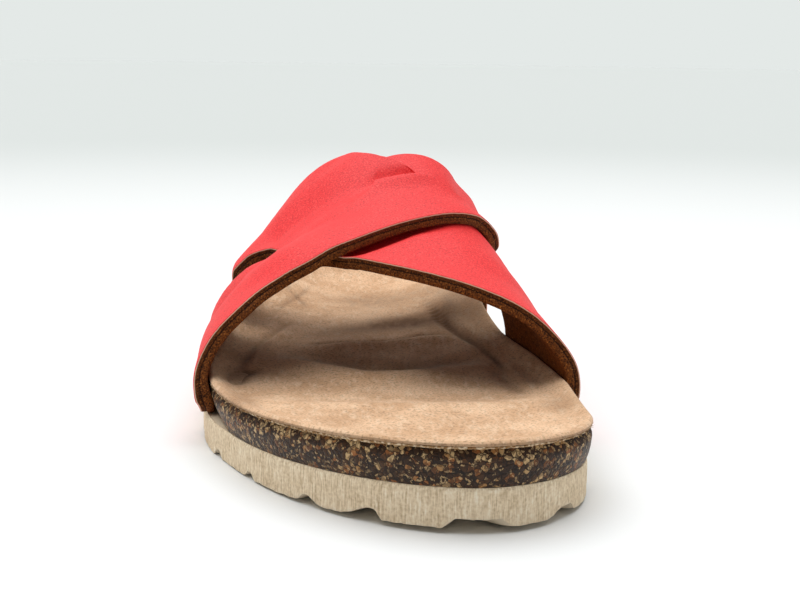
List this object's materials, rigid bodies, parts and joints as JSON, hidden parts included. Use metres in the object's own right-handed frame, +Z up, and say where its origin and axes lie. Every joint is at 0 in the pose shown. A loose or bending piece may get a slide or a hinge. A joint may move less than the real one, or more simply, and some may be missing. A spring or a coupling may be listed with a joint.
{
  "type": "slide sandal",
  "caption": "Right-foot slide sandal with a shaped cork footbed, suede lining, lugged foam outsole and crossing leather straps that leave toe and heel open.",
  "frame": {"origin": "middle of the underside, on the floor", "axes": "+Z up, +Y from toe to heel, +X towards the big-toe side"},
  "size_m": [0.1008, 0.2464, 0.0709],
  "materials": {
    "foam_outsole": "matt moulded foam with a fine upright grain",
    "cork": "pressed cork grains in a dark binder, sealed with a thin sheen",
    "jute": "pale frayed weave",
    "suede": "soft napped suede",
    "strap_leather": "matt coral-red grained face with a brown felted back"
  },
  "bodies": {
    "root": {"outsole": "foam_outsole", "cork_footbed": "cork", "jute_band": "jute", "footbed_lining": "suede", "upper": "strap_leather"}
  },
  "joints": []
}
